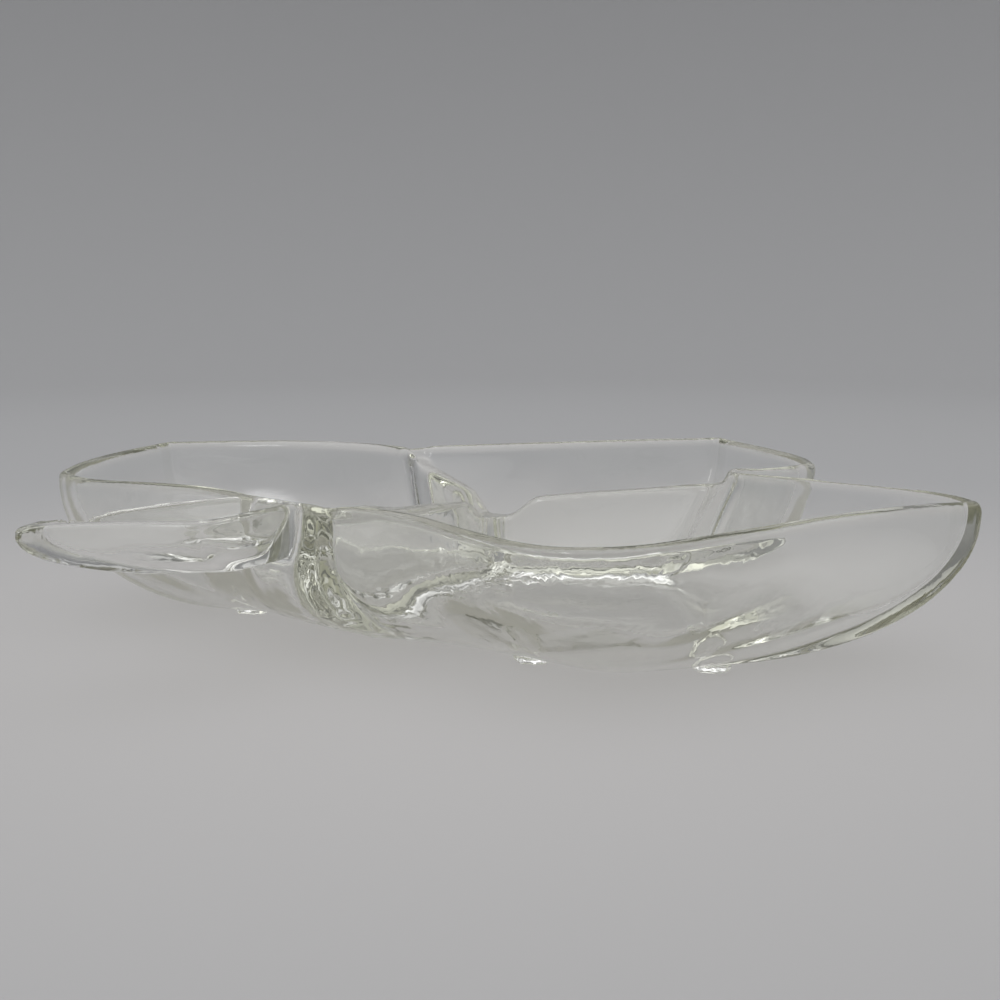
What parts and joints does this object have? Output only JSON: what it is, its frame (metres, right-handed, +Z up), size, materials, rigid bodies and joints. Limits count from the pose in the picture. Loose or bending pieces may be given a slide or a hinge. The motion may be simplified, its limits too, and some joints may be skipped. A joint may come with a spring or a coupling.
{
  "type": "relish tray",
  "caption": "Low clear pressed-glass relish tray: deep pointed compartments round a hub with curved dividers, a shallow wing at one corner, small foot nubs.",
  "frame": {"origin": "middle of the outline seen from above, on the surface that the feet stand on", "axes": "+X along the length towards the largest pointed tip, +Y towards the rear rim, +Z up"},
  "size_m": [0.2822, 0.201, 0.05],
  "materials": {
    "clear_glass": "clear pressed glass, fire-polished, very faintly green",
    "thick_glass": "the same glass where it is thick, olive green seen through its length"
  },
  "bodies": {
    "root": {"front_left_wall": "clear_glass", "front_right_wall": "clear_glass", "front_far_wall": "clear_glass", "right_near_wall": "clear_glass", "right_end_wall": "clear_glass", "rear_right_wall": "clear_glass", "rear_left_wall": "clear_glass", "left_end_wall": "clear_glass", "left_near_wall": "clear_glass", "wing_root_wall": "clear_glass", "wing_far_wall": "clear_glass", "wing_tip_wall": "clear_glass", "wing_near_wall": "clear_glass", "front_floor": "clear_glass", "rear_right_floor": "clear_glass", "rear_left_floor": "clear_glass", "wing_floor": "clear_glass", "right_divider": "thick_glass", "rear_divider": "thick_glass", "front_divider": "thick_glass", "hub": "thick_glass", "front_left_foot": "thick_glass", "front_right_foot": "thick_glass", "rear_right_foot": "thick_glass", "rear_left_foot": "thick_glass", "left_foot": "thick_glass"}
  },
  "joints": []
}
